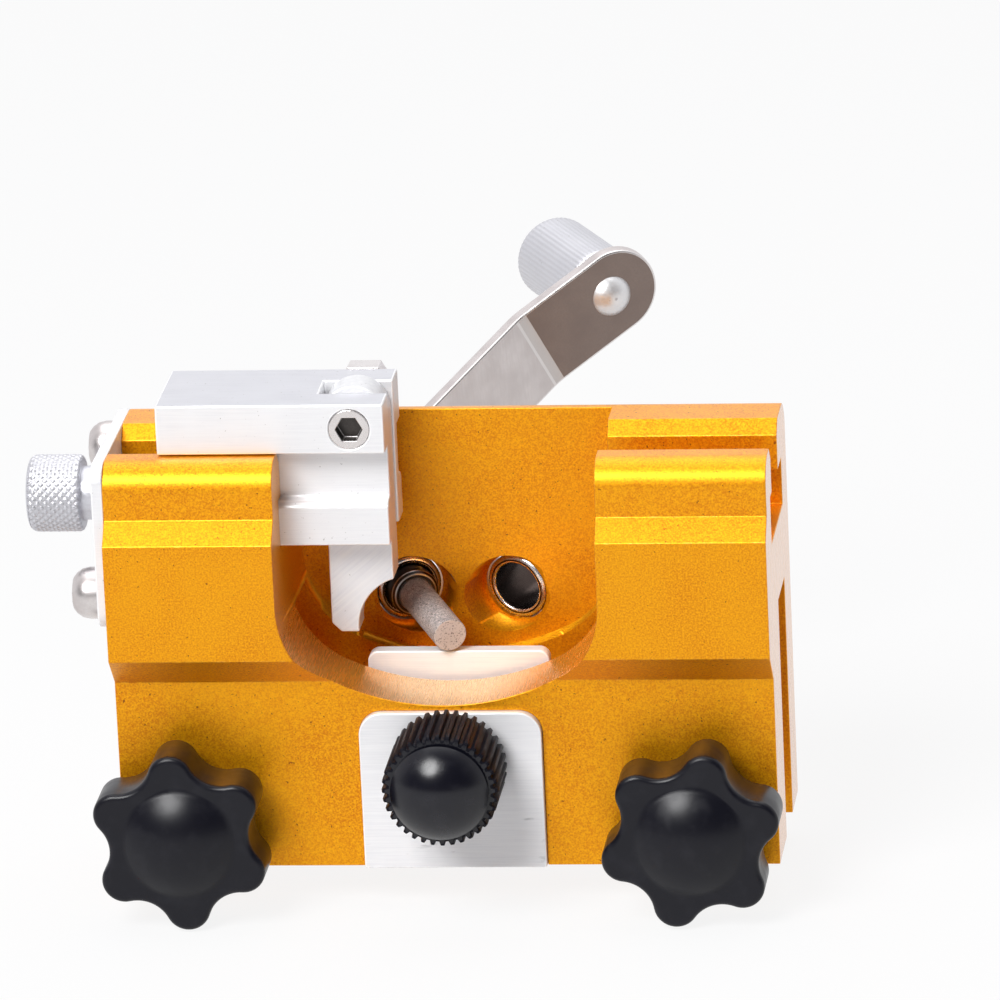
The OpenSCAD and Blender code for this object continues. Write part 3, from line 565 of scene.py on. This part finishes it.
# The bush's rounded edges get the full painted highlight
BUSH_STEEL = steel("bush_steel", BUSH, BUSH_STAIN, 0.20, 0.32, painted_highlight=1.0)
SCREW_STEEL = steel("screw_steel", BRIGHT, STEEL_STAIN, 0.28, 0.42)
BLACK = plastic("black_plastic", 0.22, 0.34, 0.42)
BLACK_STAR = plastic("black_plastic_star", 0.32, 0.46, 0.30)
BLACK_RIBBED = plastic("black_plastic_ribbed", 0.45, 0.58, 0.12)
GRIT = abrasive("abrasive_side", STONE, STONE_LIGHT, 0.3)
GRIT_END = abrasive("abrasive_end", STONE_END, STONE_LIGHT, 0.1)


# Mesh helpers


def add_piece(name, mesh, body, materials, replaced):
    """Puts a finished mesh into the scene in place of the CAD nodes it stands for."""
    piece = bpy.data.objects.new(name, mesh)
    scene.collection.objects.link(piece)
    for material in materials:
        mesh.materials.append(material)
    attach(piece, body)
    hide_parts(*replaced)
    return piece


def round_edges(bm, edges, width, segments, mark):
    """Rounds the edges to width and marks the new faces in the layer mark."""
    cut = bmesh.ops.bevel(bm, geom=edges, offset=width, offset_type="OFFSET", segments=segments,
                          profile=0.5, affect="EDGES", clamp_overlap=False)
    for face in cut["faces"]:
        face[mark] = 1.0


def finished(node, width, materials, choose=None, fold=0.0, keep=None):
    """The CAD node with its flats joined, its sharp edges rounded to width and any shallow folds to fold.

    choose(face) gives the number of a face's material, and edges between points with keep(point) stay sharp.
    """
    mesh = nodes[node].data.copy()
    mesh.materials.clear()
    bm = bmesh.new()
    bm.from_mesh(mesh)
    edge = bm.faces.layers.float.new("edge")
    bmesh.ops.remove_doubles(bm, verts=bm.verts, dist=MERGE_REACH)
    bmesh.ops.dissolve_limit(bm, angle_limit=FLAT_ANGLE, verts=bm.verts, edges=bm.edges)
    if fold:
        creases = [e for e in bm.edges if e.is_manifold and FOLD_ANGLE < e.calc_face_angle() < SHARP_ANGLE]
        round_edges(bm, creases, fold, FOLD_SEGMENTS, edge)
    sharp = [e for e in bm.edges if e.is_manifold and e.calc_face_angle() > SHARP_ANGLE
             and not (keep and all(keep(v.co) for v in e.verts))]
    round_edges(bm, sharp, width, EDGE_SEGMENTS, edge)
    for face in bm.faces:
        face.smooth = True
        face.material_index = choose(face) if choose else 0
    bm.to_mesh(mesh)
    bm.free()
    mesh.set_sharp_from_angle(angle=CREASE_ANGLE)
    piece = add_piece(node + "_finished", mesh, body_of[node], materials, [node])
    piece.modifiers.new("flat_faces", "WEIGHTED_NORMAL").keep_sharp = True


def placed(origin, axis):
    """Matrix whose Z runs along axis from origin."""
    return Matrix.Translation(origin) @ Vector(axis).to_track_quat("Z", "Y").to_matrix().to_4x4()


def dense(profile, step):
    """The profile of (along, radius) points with no gap along it longer than step."""
    points = [profile[0]]
    for (a0, r0), (a1, r1) in zip(profile, profile[1:]):
        parts = max(1, math.ceil(math.hypot(a1 - a0, r1 - r0) / step))
        points += [(a0 + (a1 - a0) * k / parts, r0 + (r1 - r0) * k / parts) for k in range(1, parts + 1)]
    return points


def rounded(along, radius, size, start, end, steps=6):
    """Quarter-round corner of a profile, from the angle start to the angle end in degrees."""
    angles = [math.radians(start + (end - start) * k / steps) for k in range(steps + 1)]
    return [(along + size * math.sin(a), radius + size * math.cos(a)) for a in angles]


def ring_mesh(name, rings, matrix):
    """Mesh through a row of rings with equal point counts; a ring of one point closes an end."""
    bm = bmesh.new()
    rows = [[bm.verts.new(matrix @ Vector(p)) for p in ring] for ring in rings]
    for low, high in zip(rows, rows[1:]):
        count = max(len(low), len(high))
        for k in range(count):
            n = (k + 1) % count
            corners = [low[k % len(low)], low[n % len(low)], high[n % len(high)], high[k % len(high)]]
            unique = list(dict.fromkeys(corners))
            if len(unique) > 2:
                bm.faces.new(unique)
    bmesh.ops.recalc_face_normals(bm, faces=bm.faces)
    for face in bm.faces:
        face.smooth = True
    mesh = bpy.data.meshes.new(name)
    bm.to_mesh(mesh)
    bm.free()
    mesh.set_sharp_from_angle(angle=RING_ANGLE)
    return mesh


def turned(name, profile, matrix, steps, relief, darkening=1.0):
    """Turned piece with steps points round it.

    relief(angle, along, radius) gives how far a point drops below the profile, and the deepest points
    are marked as valleys with the strength darkening.
    """
    rings, drops = [], []
    for along, radius in profile:
        if radius <= 1e-9:
            rings.append([(0, 0, along)])
            drops.append(0.0)
            continue
        ring = []
        for k in range(steps):
            angle = 2 * math.pi * k / steps
            drop = relief(angle, along, radius)
            ring.append(((radius - drop) * math.cos(angle), (radius - drop) * math.sin(angle), along))
            drops.append(drop)
        rings.append(ring)
    mesh = ring_mesh(name, rings, matrix)
    deepest = max(drops) or 1.0
    valley = mesh.attributes.new("valley", "FLOAT", "POINT")
    valley.data.foreach_set("value", [darkening * drop / deepest for drop in drops])
    return mesh


def triangle_wave(x):
    """0 at whole numbers, 1 half-way between them."""
    return 1 - abs(2 * (x % 1.0) - 1)


def thread(pitch, diameter, start, end):
    """Relief of a screw thread cut from start to end along a shank of one diameter."""
    depth = THREAD_DEPTH * pitch

    def relief(angle, along, radius):
        if radius < diameter / 2 - depth / 8 or not start < along < end:
            return 0.0
        fade = min(1.0, (along - start) / pitch, (end - along) / pitch)
        return fade * depth * triangle_wave(along / pitch - angle / (2 * math.pi))

    return relief


# Machined pieces kept from the CAD frame, with rounded edges


def at_rim_joint(point):
    """The two lines where the arcs of the window's lower edge meet."""
    across, up = abs(point.x) - RIM_JOINT_X, point.z - RIM_JOINT_Z
    return point.y < 0 and max(abs(across), abs(up)) < RIM_JOINT_REACH


def in_pocket(point):
    """The pocket behind the window, whose bosses keep their sharp edges."""
    return abs(point.x) < WINDOW_HALF and point.y > 0 and WINDOW_LOW < point.z < WINDOW_HIGH


def stays_sharp(point):
    """Points of the body whose edges aren't rounded."""
    return in_pocket(point) or at_rim_joint(point)


def body_face(face):
    """Sawn ends and the milled window are smoother than the blasted outside."""
    centre = face.calc_center_median()
    if abs(centre.x) > WINDOW_HALF:
        return 1 if abs(face.normal.x) > SQUARE else 0
    milled_side = abs(face.normal.x) < RIM_SIDE or at_rim_joint(centre)
    rim = centre.y < 0 and WINDOW_LOW < centre.z < WINDOW_HIGH and milled_side
    return 2 if rim and abs(face.normal.y) < RIM_LEVEL else 0


def slide_shade_face(face):
    """The slide's top gets a darker aluminium than its milled sides: painted shade."""
    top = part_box("slide_block")[1].z
    return 1 if face.normal.z > SQUARE and face.calc_center_median().z > top - TOP_REACH else 0


def socket_shade_face(face):
    """The hex socket in the pivot screw's head gets the dark steel as painted shade in the recess."""
    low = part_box("pawl_pivot_screw")[0]
    joint = joints["pawl_swing"]["pos_m"]
    centre = face.calc_center_median()
    reach = math.hypot(centre.x - joint[0], centre.z - joint[2])
    inside = low.y + SOCKET_START < centre.y < low.y + SOCKET_END
    return 1 if inside and reach < SOCKET_R else 0


def strap_shade_face(face):
    """The strap's folded end, square to the handle, gets painted shade: a darker steel."""
    joint = joints["handle_spin"]
    near = (face.calc_center_median() - Vector(joint["pos_m"])).length < STRAP_END_REACH
    return 1 if near and abs(face.normal.dot(Vector(joint["axis"]))) > STRAP_SQUARE else 0


def stone_face(face):
    """The stone's flat ends are cleaner than its side."""
    return 1 if abs(face.normal.dot(Vector(joints["crank_turn"]["axis"]))) > STONE_SQUARE else 0


finished("body_extrusion", BODY_EDGE, [ANODISED, ANODISED_CUT, ANODISED_RIM], body_face,
         keep=stays_sharp)
finished("end_plate", PLATE_EDGE, [MILLED])
finished("thread_plate", PLATE_EDGE, [PLATE])
finished("slide_block", BLOCK_EDGE, [MILLED, MILLED_TOP_SHADE], slide_shade_face)
finished("pawl", PLATE_EDGE, [DIAGONAL])
finished("chain_clamp_pad", PLATE_EDGE, [PAD])
finished("crank_arm", STRAP_EDGE, [STRAP_STEEL, STRAP_END_SHADE], strap_shade_face, fold=STRAP_FOLD)
# Painted shade: dark steel inside the hex socket
finished("pawl_pivot_screw", SMALL_EDGE, [BRIGHT_STEEL, DARK], socket_shade_face)
finished("grinding_stone", SMALL_EDGE, [GRIT, GRIT_END], stone_face)
finished("handle_rivet", SMALL_EDGE, [TURNED])
finished("thumb_screw_clip", SMALL_EDGE, [DARK])
for node in ("end_plate_screw_lower", "end_plate_screw_upper"):
    finished(node, SMALL_EDGE, [SCREW_STEEL])
for node in ("left_bush", "right_bush"):
    finished(node, BUSH_EDGE, [BUSH_STEEL])
for node in ("feed_collar", "spindle"):
    finished(node, SMALL_EDGE, [DARK])
for node in ("pawl_pivot_nut", "crank_washer", "crank_screw", "left_clamp_shoe", "right_clamp_shoe"):
    finished(node, SMALL_EDGE, [BRIGHT_STEEL])


# Thumb screw with a diamond knurl


def thumb_screw():
    """Knurled head with a shallow groove in its end, a shoulder and a threaded shank."""
    low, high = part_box("thumb_screw")
    joint = joints["thumb_screw_turn"]
    origin = Vector((low.x, joint["pos_m"][1], joint["pos_m"][2]))
    r = THUMB_HEAD_D / 2
    head_end = THUMB_HEAD_L
    shoulder_end = head_end + THUMB_SHOULDER_L
    tip = high.x - low.x
    shank, shoulder = THUMB_THREAD_D / 2, THUMB_SHOULDER_D / 2
    profile = [(0, 0), (THUMB_GROOVE, THUMB_GROOVE_FROM * r), (THUMB_GROOVE_RIM, THUMB_GROOVE_TO * r)]
    profile += rounded(THUMB_ROUND, r - THUMB_ROUND, THUMB_ROUND, -90, 0)
    profile += rounded(head_end - THUMB_ROUND / 2, r - THUMB_ROUND / 2, THUMB_ROUND / 2, 0, 90)
    profile += [(head_end, shoulder), (shoulder_end - THUMB_SHOULDER_BEVEL, shoulder),
                (shoulder_end, shoulder - THUMB_SHOULDER_BEVEL), (shoulder_end, shank),
                (tip - THUMB_TIP_BEVEL, shank), (tip, shank - THUMB_TIP_BEVEL), (tip, 0)]
    thread_relief = thread(THUMB_PITCH, THUMB_THREAD_D, shoulder_end + THUMB_PLATE_T + MM, tip)
    lead = math.pi * THUMB_HEAD_D

    def relief(angle, along, radius):
        if radius < r - THUMB_ROUND / 3:
            return thread_relief(angle, along, radius)
        around = angle / (2 * math.pi)
        left = triangle_wave(THUMB_KNURLS * (around + along / lead))
        right = triangle_wave(THUMB_KNURLS * (around - along / lead))
        groove = max(1 - left, 1 - right, THUMB_KNURL_FLAT) - THUMB_KNURL_FLAT
        return THUMB_KNURL_DEPTH * groove

    mesh = turned("thumb_screw_knurled", dense(profile, THUMB_STEP_L), placed(origin, joint["axis"]),
                  THUMB_STEPS, relief)
    add_piece("thumb_screw_knurled", mesh, "thumb_screw", [KNURLED], ["thumb_screw"])


thumb_screw()


# Star knobs and their threaded studs


def star_radius(angle):
    """Radius of the star's outline at an angle from a lobe's middle."""
    half = math.pi / STAR_LOBES
    lobe = STAR_D / 2 - STAR_LOBE_R
    rise = STAR_LOBE_R + STAR_HOLLOW_R
    hollow = lobe * math.cos(half) + math.sqrt(rise**2 - (lobe * math.sin(half)) ** 2)
    away = abs((angle + half) % (2 * half) - half)
    share = STAR_LOBE_R / rise
    meet = (lobe + (hollow * math.cos(half) - lobe) * share, hollow * math.sin(half) * share)
    if away <= math.atan2(meet[1], meet[0]):
        return lobe * math.cos(away) + math.sqrt(STAR_LOBE_R**2 - (lobe * math.sin(away)) ** 2)
    back = half - away
    return hollow * math.cos(back) - math.sqrt(STAR_HOLLOW_R**2 - (hollow * math.sin(back)) ** 2)


def star_outline(inset, steps=STAR_LOBES * STAR_LOBE_STEPS):
    """Points of the star's outline, moved in by inset along its normals."""
    points = []
    for k in range(steps):
        a = 2 * math.pi * k / steps
        step = math.pi / steps
        before, after = a - step, a + step
        tangent = (Vector((math.sin(after), math.cos(after))) * star_radius(after)
                   - Vector((math.sin(before), math.cos(before))) * star_radius(before)).normalized()
        point = Vector((math.sin(a), math.cos(a))) * star_radius(a)
        points.append(point - inset * Vector((-tangent.y, tangent.x)))
    return points


def circle_like(count, radius):
    """A circle with as many points as an outline has."""
    angles = [2 * math.pi * k / count for k in range(count)]
    return [Vector((math.sin(a), math.cos(a))) * radius for a in angles]


def between(first, second, share):
    """The outline that lies a share of the way from the first to the second."""
    return [a.lerp(b, share) for a, b in zip(first, second)]


def quarter(steps):
    """The angles of a quarter turn, cut into steps."""
    return [math.pi / 2 * k / steps for k in range(steps + 1)]


def dome(count, radius, height, base, first):
    """Levels of a dome that stands on base, from its ring number first to its top point."""
    ball = (radius**2 + height**2) / (2 * height)
    spread = math.asin(radius / ball)
    levels = []
    for k in range(first, DOME_STEPS + 1):
        a = spread * (1 - k / DOME_STEPS)
        ring = circle_like(count, ball * math.sin(a)) if k < DOME_STEPS else [Vector((0, 0))]
        levels.append((ring, base + height - ball * (1 - math.cos(a))))
    return levels


def moulded(node, levels, place):
    """Mesh through a knob's (outline, depth) levels, from its back to its front."""
    rings = [[(p.x, -depth, p.y) for p in ring] for ring, depth in levels]
    return ring_mesh(node + "_moulded", rings, place)


def star_knob(side):
    """Knob with lobes, rounded edges, a bore in its back and a low dome on its front."""
    node = side + "_star_knob"
    joint = joints[side + "_knob_turn"]
    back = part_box(node)[1].y
    spin = Matrix.Rotation(math.radians(STAR_TURNS[side]), 4, "Y")
    place = Matrix.Translation((joint["pos_m"][0], back, joint["pos_m"][2])) @ spin
    count = len(star_outline(0))
    bore, dome_r, back_round = STAR_BORE_D / 2, STAR_DOME_D / 2, STAR_ROUND * 0.5
    levels = [(circle_like(count, bore), BORE_DEPTH), (circle_like(count, bore), STAR_BORE_BEVEL),
              (circle_like(count, bore + STAR_BORE_BEVEL), 0.0)]
    levels += [(star_outline(back_round * (1 - math.sin(a))), back_round * (1 - math.cos(a)))
               for a in quarter(4)]
    levels += [(star_outline(STAR_ROUND * (1 - math.cos(a))), STAR_T - STAR_ROUND * (1 - math.sin(a)))
               for a in quarter(6)]
    rim, foot = star_outline(STAR_ROUND), circle_like(count, dome_r)
    levels += [(between(rim, foot, s), STAR_T) for s in (0.15, 0.5, 0.85)]
    levels.append((foot, STAR_T + STAR_DOME_STEP))
    levels += dome(count, dome_r, STAR_DOME_H, STAR_T, 1)
    mesh = moulded(node, levels, place)
    add_piece(node + "_moulded", mesh, body_of[node], [BLACK_STAR], [node])


def threaded_rod(node, joint, diameter, pitch, pin_d):
    """Stud along Y with a rolled thread and a plain end pin at its rear."""
    low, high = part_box(node)
    origin = Vector((joint["pos_m"][0], low.y, joint["pos_m"][2]))
    length = high.y - low.y
    r, pin = diameter / 2, pin_d / 2
    neck = length - PIN_L
    profile = [(0, 0), (0, r - ROD_BEVEL), (ROD_BEVEL, r), (neck - ROD_BEVEL, r), (neck, r - ROD_BEVEL),
               (neck, pin), (length - PIN_BEVEL, pin), (length, pin - PIN_BEVEL), (length, 0)]
    mesh = turned(node + "_threaded", dense(profile, pitch / 8), placed(origin, REARWARD), ROD_STEPS,
                  thread(pitch, diameter, ROD_BEVEL, neck - ROD_BEVEL))
    add_piece(node + "_threaded", mesh, body_of[node], [BRIGHT_STEEL], [node])


for side in ("left", "right"):
    star_knob(side)
    threaded_rod(side + "_clamp_stud", joints[side + "_knob_turn"], STUD_D, STUD_PITCH, STUD_PIN_D)
threaded_rod("chain_clamp_screw", joints["chain_knob_turn"], CLAMP_SCREW_D, CLAMP_PITCH, CLAMP_PIN_D)


# Ribbed knob


def ribbed_knob():
    """Knob with fine ribs, a narrow neck and a dome."""
    node = "chain_clamp_knob"
    joint = joints["chain_knob_turn"]
    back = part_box(node)[1].y
    place = Matrix.Translation((joint["pos_m"][0], back, joint["pos_m"][2]))
    core = KNOB_D / 2 - KNOB_RIB_R
    count = KNOB_RIBS * KNOB_RIB_STEPS
    crest = KNOB_D / 2

    def ribs(drop):
        """Outline of rounded ribs, drawn in by drop."""
        points = []
        for k in range(count):
            a = 2 * math.pi * k / count
            wave = min(1.0, max(0.0, 0.5 + KNOB_RIB_STEEPNESS * math.cos(KNOB_RIBS * a)))
            radius = crest - drop - KNOB_RIB_DEPTH * (1 - wave * wave * (3 - 2 * wave))
            points.append(Vector((math.sin(a), math.cos(a))) * radius)
        return points

    dome_r = core - KNOB_NECK
    bore = KNOB_BORE_D / 2
    levels = [(circle_like(count, bore), BORE_DEPTH), (circle_like(count, bore), KNOB_BORE_BEVEL),
              (circle_like(count, bore + KNOB_BORE_BEVEL), 0.0),
              (circle_like(count, core - KNOB_BACK_IN), 0.0)]
    levels += [(ribs(drop), inward) for drop, inward in KNOB_BACK_ROUND]
    levels += [(ribs(0.0), KNOB_LEN * s) for s in (0.25, 0.5, 0.75)]
    levels += [(ribs(drop), KNOB_LEN - inward) for drop, inward in KNOB_FRONT_ROUND]
    levels += [(circle_like(count, core - KNOB_FACE_IN), KNOB_LEN),
               (circle_like(count, core - 2 * KNOB_NECK), KNOB_LEN + KNOB_NECK_FOOT),
               (circle_like(count, core - 2 * KNOB_NECK), KNOB_LEN + KNOB_NECK - KNOB_DOME_BEVEL),
               (circle_like(count, dome_r - KNOB_DOME_BEVEL), KNOB_LEN + KNOB_NECK)]
    levels += dome(count, dome_r, KNOB_DOME_H, KNOB_LEN + KNOB_NECK, 0)
    mesh = moulded(node, levels, place)
    for face in mesh.polygons:
        reach = math.hypot(face.center.x - joint["pos_m"][0], face.center.z - joint["pos_m"][2])
        face.material_index = 1 if reach > core - KNOB_RIB_R else 0
    add_piece(node + "_moulded", mesh, body_of[node], [BLACK, BLACK_RIBBED], [node])


ribbed_knob()


# Handle grip with fine flutes


def handle_grip():
    """Hollow grip with a seat for the rivet's head in its far end."""
    joint = joints["handle_spin"]
    r, bore, seat = GRIP_D / 2, GRIP_BORE_D / 2, GRIP_SEAT_D / 2
    profile = [(GRIP_LEN - GRIP_SEAT_L, bore), (GRIP_BEVEL, bore), (0.0, bore + GRIP_BEVEL)]
    profile += rounded(GRIP_ROUND, r - GRIP_ROUND, GRIP_ROUND, -90, 0)
    profile += rounded(GRIP_LEN - GRIP_ROUND, r - GRIP_ROUND, GRIP_ROUND, 0, 90)
    profile += [(GRIP_LEN, seat + GRIP_BEVEL), (GRIP_LEN - GRIP_BEVEL, seat), (GRIP_LEN - GRIP_SEAT_L, seat),
                (GRIP_LEN - GRIP_SEAT_L, bore)]

    def relief(angle, along, radius):
        if radius < r - GRIP_ROUND / 2:
            return 0.0
        return GRIP_FLUTE_DEPTH * triangle_wave(GRIP_FLUTES * angle / (2 * math.pi))

    place = placed(joint["pos_m"], joint["axis"]) @ Matrix.Translation((0, 0, GRIP_GAP))
    mesh = turned("handle_grip_fluted", dense(profile, GRIP_STEP_L), place, GRIP_FLUTES * GRIP_FLUTE_STEPS,
                  relief, GRIP_FLUTE_DARKENING)
    add_piece("handle_grip_fluted", mesh, "handle", [KNURLED], ["handle_grip"])


handle_grip()


# Camera


def camera():
    """Camera at the photograph's viewing angle."""
    right, up = Vector(CAMERA_RIGHT), Vector(CAMERA_UP)
    back = right.cross(up)
    turn = Matrix((right, up, back)).transposed().to_4x4()
    data = bpy.data.cameras.new("photo_camera")
    data.sensor_fit = "HORIZONTAL"
    data.sensor_width = CAMERA_SENSOR
    data.lens = CAMERA_LENS
    data.clip_end = CAMERA_FAR
    obj = bpy.data.objects.new("photo_camera", data)
    obj.matrix_world = Matrix.Translation(CAMERA_PLACE) @ turn
    scene.collection.objects.link(obj)
    scene.camera = obj


camera()


# Studio


def area_light(name, place, shape, size, power):
    """Area light aimed at the middle of the object."""
    data = bpy.data.lights.new(name, "AREA")
    data.shape = shape
    data.size, data.size_y = size
    data.energy = power
    obj = bpy.data.objects.new(name, data)
    aim = Vector(LIGHT_TARGET) - Vector(place)
    obj.matrix_world = Matrix.Translation(place) @ aim.to_track_quat("-Z", "Y").to_matrix().to_4x4()
    scene.collection.objects.link(obj)


def studio_floor():
    """Pale floor that looks nearly white and keeps a soft shadow."""
    level = cad_box[0][2] - FLOOR_GAP
    half = FLOOR_SIZE / 2
    bm = bmesh.new()
    corners = ((-half, -half), (half, -half), (half, half), (-half, half))
    bm.faces.new([bm.verts.new((x, y, level)) for x, y in corners])
    mesh = bpy.data.meshes.new("studio_floor")
    bm.to_mesh(mesh)
    bm.free()
    floor = bpy.data.objects.new("studio_floor", mesh)
    scene.collection.objects.link(floor)
    m = Shader("studio_floor")
    m.set(Base_Color=FLOOR, Roughness=FLOOR_ROUGHNESS)
    white = m.add("ShaderNodeEmission")
    white.inputs["Color"].default_value = (*FLOOR_GLOW, 1)
    share = m.math("MULTIPLY", m.shown_rays(), FLOOR_WHITE)
    m.blend(share, m.shader.outputs["BSDF"], white.outputs["Emission"], "Material Output")
    mesh.materials.append(m.material)


def studio_world():
    """White backdrop for the eye, and a dim room for the light that falls on the object."""
    scene.world = bpy.data.worlds.new("studio_world")
    scene.world.use_nodes = True
    w = Tree(scene.world.node_tree)
    direction = w.add("ShaderNodeSeparateXYZ")
    w.link(w.add("ShaderNodeTexCoord").outputs["Generated"], direction.inputs["Vector"])

    # Reflections show the same backdrop behind the object, and the unlit side of the room in front of it
    unlit = w.add("ShaderNodeMapRange", interpolation_type="SMOOTHSTEP")
    unlit.inputs["From Min"].default_value = UNLIT_TO
    unlit.inputs["From Max"].default_value = UNLIT_FROM
    w.link(direction.outputs["Y"], unlit.inputs["Value"])
    camera_ray = w.add("ShaderNodeLightPath").outputs["Is Camera Ray"]
    seen = w.math("MAXIMUM", unlit.outputs["Result"], camera_ray)
    backdrop = w.tree.nodes["Background"]
    backdrop.inputs["Strength"].default_value = 1.0
    w.link(w.mix(seen, UNLIT, BACKGROUND), backdrop.inputs["Color"])

    room = w.add("ShaderNodeBackground")
    room.inputs["Color"].default_value = (*BACKGROUND, 1)
    room.inputs["Strength"].default_value = ROOM_LEVEL
    w.blend(w.shown_rays(), room.outputs["Background"], backdrop.outputs["Background"], "World Output")


studio_floor()
studio_world()
area_light("key_softbox", KEY_PLACE, "DISK", KEY_SIZE, KEY_POWER)
area_light("overhead", OVERHEAD_PLACE, "RECTANGLE", OVERHEAD_SIZE, OVERHEAD_POWER)

scene.view_settings.view_transform = "Standard"
